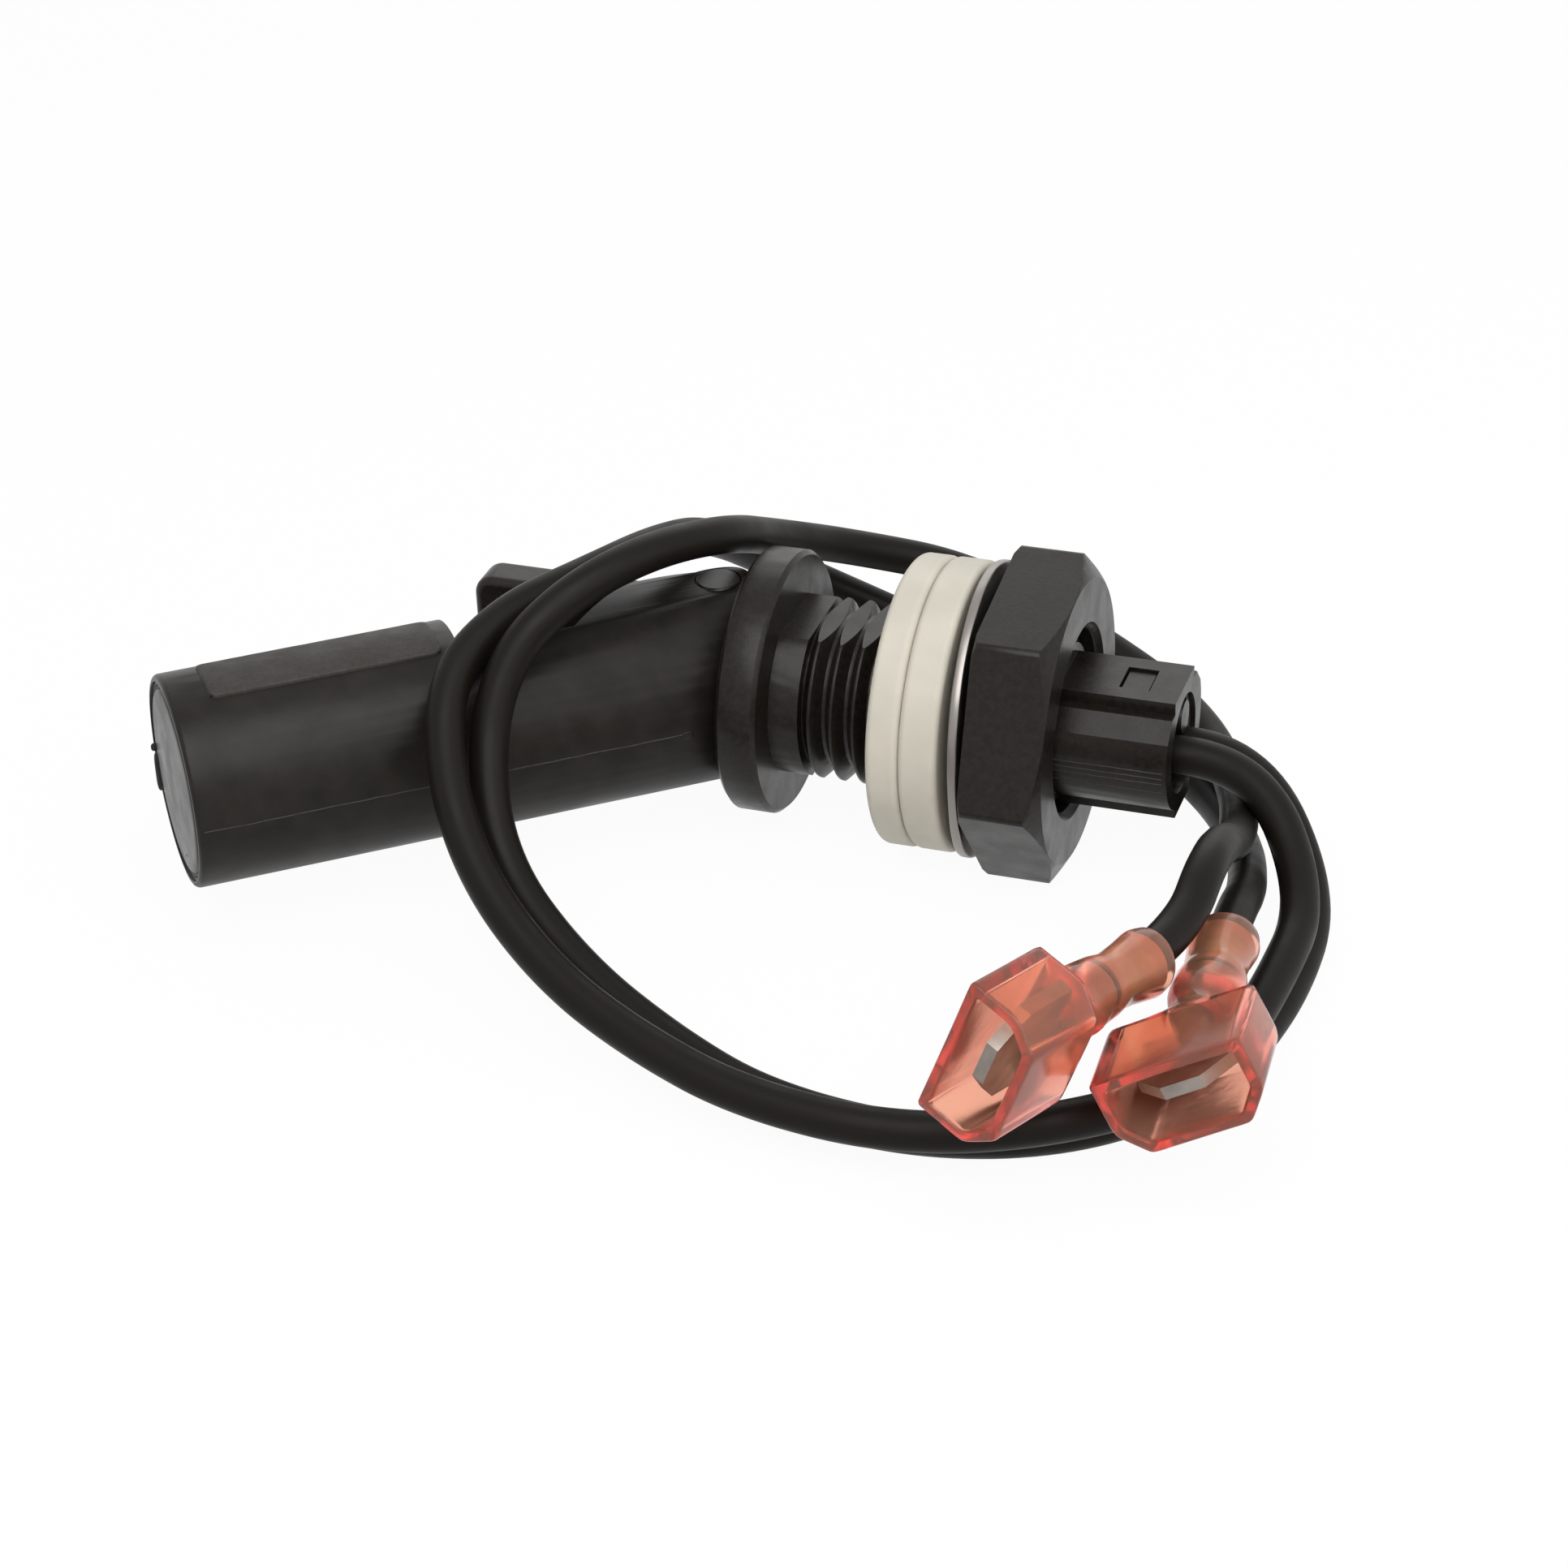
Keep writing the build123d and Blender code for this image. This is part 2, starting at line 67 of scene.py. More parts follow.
# Each terminal's mouth, and its heading, slope and roll in degrees
TERMINALS = {
    "a": ((34.98, -37.25, -1.38), 93.8, -3.4, -27.9),
    "b": ((25.02, -43.8, 3.02), 68.9, -7.3, -71.2),
}

# Directions along the open float, across it towards the viewer, and above it
FLOAT_OUT = np.array([-math.cos(OPEN_ANGLE), -math.sin(OPEN_ANGLE), 0.0])
FLOAT_NEAR = np.array([math.sin(OPEN_ANGLE), -math.cos(OPEN_ANGLE), 0.0])
FLOAT_UP = np.array([0.0, 0.0, 1.0])

# Control points of the leads, from inside the tail to inside the terminals' barrels
ROUTE_A = [
    (17, -1.3, -0.6), (22, -1.3, -0.6), (31.5, -1.4, -0.65), (36.5, -8.5, -5.5), (36, -18, -6.2),
    (34.5, -27.6, -6.7), (27.5, -34.2, -6.7), (18.5, -37.5, -7), (8.5, -36.5, -7), (1, -34, -6),
    (-5.5, -31, -4.5), (-11.5, -27, -1.5), (-15.5, -22.5, 2.5), (-17.5, -17, 7), (-15.5, -11.5, 9),
    (-12, -6.5, 9.5), (-9, -0.5, 9.5), (-8, 6, 7), (-6, 12.5, 2), (0.5, 17.5, -3.5), (9.5, 18, -7),
    (18, 15.5, -8.5), (25, 9.5, -8.9), (30, 1.5, -8), (32.5, -8, -5.5), (33.29, -16.82, -1.98),
    (33.84, -25.08, -1.49),
]
ROUTE_B = [
    (17, 1.2, -1.35), (22, 1.2, -1.35), (31, 1.1, -1.4), (36.5, -5, -7.5), (36.5, -14.5, -8.9),
    (34.5, -24, -8.9), (28.5, -31.5, -8.9), (19.5, -35, -8.9), (9.5, -34, -8.9), (2, -30.5, -8.5),
    (-5.5, -27, -6.5), (-12, -23, -2.5), (-14.5, -18.5, 3), (-14, -15, 8), (-11, -11.5, 11),
    (-7.5, -6.5, 12), (-4.5, 0, 10.5), (-4, 8, 6.3), (-1, 15, 2.5), (6.5, 18.5, 0), (15, 18, -3.5),
    (24, 13, -5.5), (29, 4.5, -6), (31.5, -7, -3), (32, -17, 3), (31.73, -24.57, 0.64),
    (28.77, -32.24, 1.69),
]
# In metres, because the cords' own call takes them so
WIRE_DIAMETER = 0.0025

# The label ground: its middle along the float, half sizes, corner radius and height above the float
LABEL_MIDDLE = 26.925
LABEL_HALF_OUT, LABEL_HALF_NEAR, LABEL_CORNER = 7.62, 2.24, 0.6
LABEL_HEIGHT = 0.235

# Where the two mould seams start and end along the float: the far one starts past the float's cut
SEAM_NEAR_SPAN = (4.6, 36.7)
SEAM_FAR_SPAN = (18.6, 36.7)

# Small lumps on the float: place and half sizes along, across and above its axis, power and look
FLOAT_LUMPS = (
    ("witness_mark", (4.75, 6.97, -0.12), (0.45, 0.09, 0.3), 1.0, "black_float"),
    # The gate stub and the flash take the paler rough finish: partly rough moulding, partly a
    # painted highlight along their edges.
    ("gate_stub", (36.95, -6.0, -2.5), (0.3, 0.16, 1.45), 0.5, "rough_and_highlight_float"),
    ("gate_flash", (37.1, -6.1, -0.7), (0.24, 0.06, 0.3), 0.8, "rough_and_highlight_float"),
    ("cap_nib", (36.9, 1.6, -4.6), (0.2, 0.16, 0.2), 0.8, "black_float"),
)
LUMP_RINGS, LUMP_POINTS = 15, 28

# The nylon hood's half sizes, where its slanted sides start, how they lean, and its wall
HOOD_HALF_WIDTH, HOOD_HALF_HEIGHT, HOOD_SLANT_START = 4.7, 2.625, 0.875
HOOD_SLANT = math.atan2(1.95, 1.75)
HOOD_WALL = 0.7
HOOD_CORNER_POWER = 34

# The sleeve's outside: depths from the mouth, the share of hood or barrel, and the barrel's radii
SLEEVE_DEPTHS = np.array([
    0, 0.1, 0.3, 3, 5.9, 6.3, 6.8, 7.2, 7.45, 7.7, 8.2, 8.7, 9.1, 9.5, 10, 10.6, 11.3, 12, 12.7,
    13.4, 14.1, 14.8, 15.5, 16.1, 16.6, 16.95, 17.15, 17.2,
])
SHOULDER_DEPTHS = [5.9, 6.3, 6.8, 7.2, 7.45, 7.7]
SHOULDER_SHARES = [0, 0.03, 0.3, 0.62, 0.9, 1]
BARREL_DEPTHS = [7.4, 8.7, 9.3, 10.2, 12, 13.4, 15.2, 16.6, 17.2]
BARREL_WIDE = [1.72, 1.7, 2.1, 2.3, 2.22, 1.95, 2.02, 2.24, 2.14]
BARREL_HIGH = [1.66, 1.64, 1.95, 2.12, 1.95, 1.68, 1.85, 2.06, 1.96]
BARREL_DROP = 0.7
DENTS = ((11.6, 0.8), (14.4, 0.7))
DENT_DEPTH = 0.26

# Camera, solved from the photograph: angles in degrees, lengths in millimetres
CAMERA_ANGLES = (19.462, 30.824, -1.882)
CAMERA_AIM = (-1.049, -6.718)
CAMERA_DISTANCE = 253.14
CAMERA_LENS = 87.84
CAMERA_SENSOR = 36

# Light: each lamp's place, width and power, the sky's share, and the floor that looks white
LAMPS = (
    ("key", (60, -190, 290), 300, 1.05),
    ("fill", (300, -100, 180), 300, 0.35),
    ("back", (-60, 320, 200), 260, 0.2),
)
SKY_LIGHT, SKY_SEEN = 0.42, 1.0
FLOOR_REACH = 1500.0
FLOOR_GREY = (0.86, 0.86, 0.86)
FLOOR_WHITE_SHARE = 0.95


def settings():
    """Returns the group of sizes and colours that the panel shows."""
    return bpy.context.scene.float_switch


def node(name):
    """Returns the CAD object of that node."""
    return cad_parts[name]


def colour_property(name, description, default):
    """Returns a colour property in linear light."""
    return FloatVectorProperty(
        name=name, description=description, subtype="COLOR", size=3, min=0, max=1, default=default
    )


class FloatSwitchSettings(bpy.types.PropertyGroup):
    """Sizes and colours that someone would change."""

    moulding_colour: colour_property(
        "Moulding", "Colour of the stem, nut and plug", (0.0092, 0.0071, 0.0055)
    )
    float_colour: colour_property("Float", "Colour of the float", (0.0105, 0.0088, 0.0073))
    wire_colour: colour_property("Wire", "Colour of the insulation", (0.0075, 0.0060, 0.0048))
    gasket_colour: colour_property("Gaskets", "Colour of the two gaskets", (0.55, 0.52, 0.44))
    # Darker than bare steel: a painted reflection of the dark nut and gaskets around the washer.
    steel_and_dark_reflection_colour: colour_property("Washer", "Colour of the wave washer", (0.25, 0.23, 0.215))
    nylon_colour: colour_property("Sleeves", "Colour of the clear nylon", (0.99, 0.71, 0.48))
    tin_colour: colour_property("Tabs", "Colour of the plated tabs", (0.30, 0.265, 0.24))
    copper_colour: colour_property("Strands", "Colour of the bared wire", (0.85, 0.55, 0.42))
    wire_diameter: FloatProperty(
        name="Wire diameter", description="Across the insulation",
        unit="LENGTH", default=WIRE_DIAMETER,
    )
    edge_radius: FloatProperty(
        name="Edge radius", description="Softening of moulded edges",
        unit="LENGTH", default=0.00012,
    )
    smoothness: IntProperty(
        name="Wire steps", description="Curve steps between route points",
        min=4, max=24, default=12,
    )
    lens: FloatProperty(
        name="Lens", description="Focal length of the camera",
        min=20, max=300, default=CAMERA_LENS,
    )


class Nodes:
    """Short way to add and link shader nodes of one material."""

    def __init__(self, tree):
        self.tree = tree

    def add(self, kind, values=None, **fields):
        """Adds a node, sets its fields and the values of its input sockets."""
        made = self.tree.nodes.new(kind)
        for field, value in fields.items():
            setattr(made, field, value)
        for socket, value in (values or {}).items():
            made.inputs[socket].default_value = value
        return made

    def link(self, source, target):
        """Links one output socket to one input socket."""
        self.tree.links.new(source, target)

    def seen_plainly(self):
        """Returns a socket that is 1 for camera, glossy and transmission rays and 0 for others."""
        path = self.add("ShaderNodeLightPath")
        seen = path.outputs["Is Camera Ray"]
        for ray in ("Is Glossy Ray", "Is Transmission Ray"):
            either = self.add("ShaderNodeMath", operation="MAXIMUM")
            self.link(seen, either.inputs[0])
            self.link(path.outputs[ray], either.inputs[1])
            seen = either.outputs[0]
        return seen


def with_alpha(colour):
    """Returns a colour with full alpha."""
    return (*colour, 1.0)


def new_finish(name, colour, roughness, **sockets):
    """Returns a material, its node helper and its Principled shader."""
    material = bpy.data.materials.new(name)
    material.use_nodes = True
    nodes = Nodes(material.node_tree)
    shader = material.node_tree.nodes["Principled BSDF"]
    shader.inputs["Base Color"].default_value = with_alpha(colour)
    shader.inputs["Roughness"].default_value = roughness
    for socket, value in sockets.items():
        shader.inputs[socket.replace("_", " ")].default_value = value
    material.diffuse_color = with_alpha(colour)
    return material, nodes, shader


def grain(nodes, shader, scale, strength, distance, detail=6.0):
    """Adds fine bump from noise that is fixed to the object, and returns the place it reads."""
    vector = nodes.add("ShaderNodeTexCoord").outputs["Object"]
    noise = nodes.add("ShaderNodeTexNoise", {"Scale": scale, "Detail": detail, "Roughness": 0.6})
    nodes.link(vector, noise.inputs["Vector"])
    bump = nodes.add("ShaderNodeBump", {"Strength": strength, "Distance": distance})
    nodes.link(noise.outputs["Fac"], bump.inputs["Height"])
    nodes.link(bump.outputs["Normal"], shader.inputs["Normal"])
    return vector


def vary(nodes, shader, vector, socket, scale, low, high):
    """Lets slow noise run a socket between a low and a high value or colour."""
    noise = nodes.add("ShaderNodeTexNoise", {"Scale": scale, "Detail": 4.0})
    nodes.link(vector, noise.inputs["Vector"])
    if isinstance(low, tuple):
        ramp = nodes.add("ShaderNodeValToRGB")
        dark, pale = ramp.color_ramp.elements
        dark.position, pale.position = 0.35, 0.68
        dark.color, pale.color = with_alpha(low), with_alpha(high)
        nodes.link(noise.outputs["Fac"], ramp.inputs["Fac"])
        nodes.link(ramp.outputs["Color"], shader.inputs[socket])
        return
    limits = {"From Min": 0.3, "From Max": 0.7, "To Min": low, "To Max": high}
    span = nodes.add("ShaderNodeMapRange", limits)
    nodes.link(noise.outputs["Fac"], span.inputs["Value"])
    nodes.link(span.outputs["Result"], shader.inputs[socket])


def lighter(colour, factor):
    """Returns a colour multiplied by a factor."""
    return tuple(min(1.0, part * factor) for part in colour)


def moulding_finish():
    """Black glass-filled nylon: matt, with a fine spark-eroded grain."""
    colour = tuple(settings().moulding_colour)
    material, nodes, shader = new_finish(
        "black_moulding", colour, roughness=0.32, Specular_IOR_Level=0.22
    )
    vector = grain(nodes, shader, scale=5200, strength=0.4, distance=0.00002)
    vary(
        nodes, shader, vector, "Base Color",
        scale=2600, low=lighter(colour, 0.75), high=lighter(colour, 1.4),
    )
    vary(nodes, shader, vector, "Roughness", scale=500, low=0.26, high=0.38)
    return material


def float_finish():
    """Black polypropylene: satin, with faint flow marks."""
    colour = tuple(settings().float_colour)
    material, nodes, shader = new_finish(
        "black_float", colour, roughness=0.40, Specular_IOR_Level=0.17
    )
    vector = grain(nodes, shader, scale=3600, strength=0.3, distance=0.00002)
    vary(
        nodes, shader, vector, "Base Color",
        scale=500, low=lighter(colour, 0.8), high=lighter(colour, 1.4),
    )
    vary(nodes, shader, vector, "Roughness", scale=160, low=0.32, high=0.46)
    return material


def rough_and_highlight_finish():
    """Black polypropylene left rough by the mould, dry and unevenly scratched, painted paler:
    partly the rough surface, partly a painted highlight on ridges, seams and gate marks.
    """
    # Painted highlight: the float's colour made 1.9 times paler, so that fine ridges, seams and
    # gate marks show as light lines; partly it is the rough surface's own paler tone.
    colour = lighter(tuple(settings().float_colour), 1.9)
    material, nodes, shader = new_finish(
        "rough_and_highlight_float", colour, roughness=0.6, Specular_IOR_Level=0.4
    )
    vector = grain(nodes, shader, scale=7500, strength=0.6, distance=0.00002)
    vary(
        nodes, shader, vector, "Base Color",
        scale=3800, low=lighter(colour, 0.8), high=lighter(colour, 1.25),
    )
    vary(nodes, shader, vector, "Roughness", scale=500, low=0.5, high=0.7)
    return material


def wire_finish():
    """Black vinyl insulation: satin, with a faint grain."""
    colour = tuple(settings().wire_colour)
    material, nodes, shader = new_finish(
        "wire_black", colour, roughness=0.45, Specular_IOR_Level=0.12
    )
    vector = grain(nodes, shader, scale=2400, strength=0.18, distance=0.00002)
    vary(nodes, shader, vector, "Roughness", scale=350, low=0.38, high=0.52)
    return material


def gasket_finish():
    """Off-white elastomer: matt, a little soft inside, with handling marks."""
    colour = tuple(settings().gasket_colour)
    material, nodes, shader = new_finish(
        "gasket_white", colour, roughness=0.62,
        Subsurface_Weight=0.12, Subsurface_Radius=(0.0012, 0.001, 0.0008), Subsurface_Scale=1.0,
    )
    vector = grain(nodes, shader, scale=1500, strength=0.16, distance=0.00004)
    vary(
        nodes, shader, vector, "Base Color",
        scale=260, low=lighter(colour, 0.93), high=lighter(colour, 1.04),
    )
    return material


def steel_finish():
    """Rolled stainless spring strip with uneven gloss, its colour darkened to paint in the
    reflection of the dark parts around it.
    """
    # Painted reflection: the dark steel colour stands in for the nut and gaskets mirrored in the
    # washer.
    colour = tuple(settings().steel_and_dark_reflection_colour)
    material, nodes, shader = new_finish("spring_steel", colour, roughness=0.34, Metallic=1.0)
    vector = grain(nodes, shader, scale=1800, strength=0.08, distance=0.00001, detail=2.0)
    vary(nodes, shader, vector, "Roughness", scale=400, low=0.28, high=0.42)
    return material


def nylon_finish():
    """Clear red nylon: light passes through, and long paths inside the walls turn it crimson."""
    colour = tuple(settings().nylon_colour)
    material, nodes, shader = new_finish(
        "red_nylon", colour, roughness=0.14, Transmission_Weight=0.93, IOR=1.33
    )
    grain(nodes, shader, scale=420, strength=0.25, distance=0.00006, detail=3.0)
    crimson = {"Color": (0.95, 0.08, 0.20, 1), "Density": 500.0}
    depth = nodes.add("ShaderNodeVolumeAbsorption", crimson)
    nodes.link(depth.outputs[0], material.node_tree.nodes["Material Output"].inputs["Volume"])
    return material


def tin_finish():
    """Tinned brass strip: grey metal with a dull patchy plating."""
    colour = tuple(settings().tin_colour)
    material, nodes, shader = new_finish("tinned_brass", colour, roughness=0.45, Metallic=1.0)
    vector = grain(nodes, shader, scale=2600, strength=0.3, distance=0.00002)
    vary(
        nodes, shader, vector, "Base Color",
        scale=420, low=lighter(colour, 0.75), high=lighter(colour, 1.2),
    )
    vary(nodes, shader, vector, "Roughness", scale=700, low=0.36, high=0.55)
    return material


def bright_tin_finish():
    """Freshly plated ferrule strip: paler and less like a mirror than the tab."""
    colour = lighter(tuple(settings().tin_colour), 1.35)
    material, nodes, shader = new_finish("bright_tin", colour, roughness=0.5, Metallic=0.6)
    vector = grain(nodes, shader, scale=2200, strength=0.2, distance=0.00002)
    vary(
        nodes, shader, vector, "Base Color",
        scale=900, low=lighter(colour, 0.85), high=lighter(colour, 1.1),
    )
    return material


def copper_finish():
    """Bared strands: copper with darker twists."""
    colour = tuple(settings().copper_colour)
    material, nodes, shader = new_finish("copper", colour, roughness=0.35, Metallic=1.0)
    vector = grain(nodes, shader, scale=4000, strength=0.4, distance=0.00003)
    vary(nodes, shader, vector, "Base Color", scale=2200, low=lighter(colour, 0.5), high=colour)
    return material


def resin_finish():
    """Cast black epoxy."""
    material, nodes, shader = new_finish("resin", (0.02, 0.018, 0.016), roughness=0.2)
    grain(nodes, shader, scale=800, strength=0.1, distance=0.00002)
    return material


def glass_finish():
    """Pale green reed glass."""
    material, nodes, shader = new_finish(
        "reed_glass", (0.75, 0.9, 0.78), roughness=0.03, Transmission_Weight=0.9, IOR=1.5
    )
    grain(nodes, shader, scale=500, strength=0.05, distance=0.00001)
    return material


def reed_metal_finish():
    """Nickel iron reed strip."""
    material, nodes, shader = new_finish(
        "reed_metal", (0.56, 0.54, 0.5), roughness=0.3, Metallic=1.0
    )
    grain(nodes, shader, scale=3000, strength=0.2, distance=0.00001)
    return material


def magnet_finish():
    """Sintered ferrite: dark grey and porous."""
    material, nodes, shader = new_finish("magnet", (0.05, 0.05, 0.055), roughness=0.6)
    vector = grain(nodes, shader, scale=2500, strength=0.5, distance=0.00003)
    vary(
        nodes, shader, vector, "Base Color",
        scale=1500, low=(0.03, 0.03, 0.032), high=(0.075, 0.075, 0.08),
    )
    return material


FINISHES = {
    "black_moulding": moulding_finish,
    "black_float": float_finish,
    "rough_and_highlight_float": rough_and_highlight_finish,
    "wire_black": wire_finish,
    "gasket_white": gasket_finish,
    "spring_steel": steel_finish,
    "red_nylon": nylon_finish,
    "tinned_brass": tin_finish,
    "bright_tin": bright_tin_finish,
    "copper": copper_finish,
    "resin": resin_finish,
    "reed_glass": glass_finish,
    "reed_metal": reed_metal_finish,
    "magnet": magnet_finish,
}


def finish(slot_name):
    """Returns the material of a slot, made once."""
    look = slot_name + "_look"
    if look not in bpy.data.materials:
        FINISHES[slot_name]().name = look
    return bpy.data.materials[look]


def paint(piece, slot_name):
    """Gives a piece or CAD node one finish."""
    piece.data.materials.clear()
    piece.data.materials.append(finish(slot_name))


def grid_piece(name, points, close_u=False, close_v=False):
    """Makes a mesh from a grid of points in millimetres: each cell of the grid is one quad."""
    rows, columns = points.shape[:2]
    row = np.arange(rows if close_u else rows - 1)
    column = np.arange(columns if close_v else columns - 1)
    r, c = np.meshgrid(row, column, indexing="ij")
    r_next, c_next = (r + 1) % rows, (c + 1) % columns
    here, below = r * columns, r_next * columns
    corners = np.stack([here + c, below + c, below + c_next, here + c_next], axis=-1)
    mesh = bpy.data.meshes.new(name)
    mesh.from_pydata((points.reshape(-1, 3) * MM).tolist(), [], corners.reshape(-1, 4).tolist())
    mesh.shade_smooth()
    piece = bpy.data.objects.new(name, mesh)
    bpy.context.scene.collection.objects.link(piece)
    return piece


def on_float(out, near, up):
    """Returns points of the part's frame: the hinge, plus the float's three directions times the
    places along, across and above its axis."""
    return (
        HINGE
        + np.asarray(out)[..., None] * FLOAT_OUT
        + np.asarray(near)[..., None] * FLOAT_NEAR
        + np.asarray(up)[..., None] * FLOAT_UP
    )


def turned_outwards(piece, sharp):
    """Merges a closed mesh's doubles, points its faces outwards and keeps its corners crisp past an
    angle in degrees."""
    work = bmesh.new()
    work.from_mesh(piece.data)
    bmesh.ops.remove_doubles(work, verts=work.verts, dist=0.0000005)
    bmesh.ops.recalc_face_normals(work, faces=work.faces)
    work.to_mesh(piece.data)
    work.free()
    piece.data.shade_smooth()
    piece.data.set_sharp_from_angle(angle=math.radians(sharp))
    return piece


def carried(piece, body, slot_name, look=None):
    """Finishes a new piece with its look, or with the slot's finish when it has none, and rides it
    on its body.
    """
    paint(piece, look or slot_name)
    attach(piece, body)
    return piece


def waver(places, seed, waves=9):
    """An uneven line between about -1 and 1: a sum of sines of the place, each quicker and weaker
    than the last, at seeded phases."""
    order = np.arange(1, waves + 1)
    phase = np.random.default_rng(seed).uniform(0, FULL_TURN, waves)
    sines = np.sin(np.asarray(places)[..., None] * order + phase) / order**0.6
    return sines.sum(axis=-1) / 2.5


def lump(name, place, sizes, power):
    """A rounded lump on the float: a superellipsoid, whose half sizes are scaled by the signed
    powers of the cosine and sine of a latitude and a longitude."""
    latitude = np.linspace(-math.pi / 2, math.pi / 2, LUMP_RINGS)[:, None]
    longitude = np.linspace(0, FULL_TURN, LUMP_POINTS, endpoint=False)[None, :]

    def bent(value):
        return np.sign(value) * np.abs(value) ** power

    out = place[0] + sizes[0] * bent(np.cos(latitude)) * bent(np.cos(longitude))
    near = place[1] + sizes[1] * bent(np.cos(latitude)) * bent(np.sin(longitude))
    up = place[2] + sizes[2] * bent(np.sin(latitude)) * np.ones_like(longitude)
    return turned_outwards(grid_piece(name, on_float(out, near, up), close_v=True), sharp=60)


def label_outline():
    """The label ground's outline and which way it faces: four straight sides joined by four quarter
    circles, in order round the middle."""
    quarter = np.linspace(0, math.pi / 2, 9)
    long_side = np.linspace(-1, 1, 90)[1:-1]
    short_side = np.linspace(-1, 1, 26)[1:-1]
    straight_out, straight_near = LABEL_HALF_OUT - LABEL_CORNER, LABEL_HALF_NEAR - LABEL_CORNER
    arcs = [
        (straight_out * a, straight_near * b, quarter + turn)
        for a, b, turn in (
            (1, 1, 0), (-1, 1, 0.5 * math.pi), (-1, -1, math.pi), (1, -1, 1.5 * math.pi)
        )
    ]
    full_near = np.full_like(long_side, LABEL_HALF_NEAR)
    full_out = np.full_like(short_side, LABEL_HALF_OUT)
    sides = [
        (-straight_out * long_side, full_near, 0.5 * math.pi),
        (-full_out, -straight_near * short_side, math.pi),
        (straight_out * long_side, -full_near, 1.5 * math.pi),
        (full_out, straight_near * short_side, 0.0),
    ]
    out, near, facing = [], [], []
    for (x, y, turn), (side_x, side_y, side_turn) in zip(arcs, sides):
        out += [x + LABEL_CORNER * np.cos(turn), side_x]
        near += [y + LABEL_CORNER * np.sin(turn), side_y]
        facing += [turn, np.full_like(side_x, side_turn)]
    return (np.concatenate(parts) for parts in (out, near, facing))


def label_ground():
    """The float's raised label ground: rings of points run from its middle to its rounded, slightly
    wandering rim, and the height above the float is flat and falls in a short ramp at the rim, from
    where one last ring closes it inside the wall."""
    out, near, facing = label_outline()
    drift = 0.035 * waver(np.linspace(0, FULL_TURN, len(out)), 4, 40)
    inset = np.array([0.5, 0.32, 0.2, 0.13, 0.08, 0.03, -0.01, -0.03])[:, None]
    ramp = np.array([LABEL_HEIGHT, 0.23, 0.225, 0.215, 0.17, 0.08, 0.0, -0.08])[:, None]
    rim_out = out - (inset - drift) * np.cos(facing)
    rim_near = near - (inset - drift) * np.sin(facing)
    shrink = np.array([0.0, 0.3, 0.6, 0.85])[:, None]
    all_out = np.concatenate([shrink * rim_out[0], rim_out, 0 * rim_out[:1]])
    all_near = np.concatenate([shrink * rim_near[0], rim_near, 0 * rim_near[:1]])
    height = np.concatenate([np.full_like(shrink, LABEL_HEIGHT), ramp, ramp[-1:]]) + 0 * all_out
    height[:6] += 0.008 * waver(all_out[:6] * 1.3 + all_near[:6] * 2.1, 8)
    radius = FLOAT_RADIUS + height
    angle = all_near / FLOAT_RADIUS
    points = on_float(LABEL_MIDDLE + all_out, radius * np.sin(angle), radius * np.cos(angle))
    return turned_outwards(grid_piece("label_ground", points, close_v=True), sharp=70)


def bead(places, steps):
    """The section of a fine bead at each place: its sideways share is the cosine of a turn and its
    lift the sine's signed square, and both are nothing at the two ends, which closes them."""
    turn = np.linspace(0, FULL_TURN, steps, endpoint=False)[None, :]
    full = np.where((places == places[0]) | (places == places[-1]), 0.0, 1.0)
    return full * np.cos(turn), full * np.sin(turn) * np.abs(np.sin(turn))


def mould_seam(name, side, span, seed):
    """A fine moulded seam along the float, carried along a slightly wandering line on its side."""
    half_width, height, wander, sunk = 0.05, 0.045, 0.035, 0.012
    out = np.linspace(*span, 280)[:, None]
    sideways, lift = bead(out, 12)
    angle = (wander * waver(out * 0.5, seed) + half_width * sideways) / FLOAT_RADIUS
    radius = FLOAT_RADIUS + height * (1 + 0.5 * waver(out, seed + 1)) * lift - sunk
    points = on_float(out + 0 * sideways, side * radius * np.cos(angle), radius * np.sin(angle))
    return turned_outwards(grid_piece(name, points, close_v=True), sharp=80)


def float_cap():
    """The float's end cap: a low domed profile and its inner skirt, turned round the float."""
    seat, crown, skirt = FLOAT_LENGTH - 1.65, FLOAT_LENGTH - 0.17, 1.55
    dome = np.array([0, 1.5, 3, 4.4, 5.4, 5.85])
    groove = [6.0, 6.08, 6.14, 6.26, 6.34, 6.47]
    inside = [6.47, 5.94, 5.94, 5.07, 5.07, 0]
    radius = np.concatenate([dome, groove, inside])
    out = np.concatenate([
        crown + 0.3 - 0.0045 * dome ** 2,
        [crown + 0.06, crown - 0.25, crown - 0.3, crown - 0.25, crown - 0.02, crown],
        [seat, seat, seat - skirt, seat - skirt, seat, seat],
    ])[:, None]
    turn = np.linspace(0, FULL_TURN, 128, endpoint=False)[None, :]
    reach = radius[:, None]
    points = on_float(out + 0 * turn, reach * np.sin(turn), reach * np.cos(turn))
    return turned_outwards(grid_piece("float_cap", points, close_v=True), sharp=50)


def terminal_axes(letter):
    """Returns a terminal's mouth and its three directions: across the tab, above it, and to the
    wire."""
    place, *angles = TERMINALS[letter]
    heading, slope, roll = (math.radians(angle) for angle in angles)
    flat_x, flat_y = math.cos(heading), math.sin(heading)
    along = np.array([flat_x * math.cos(slope), flat_y * math.cos(slope), math.sin(slope)])
    level = np.array([flat_y, -flat_x, 0.0])
    across = level * math.cos(roll) + np.cross(along, level) * math.sin(roll)
    return np.array(place), across, np.cross(along, across), along


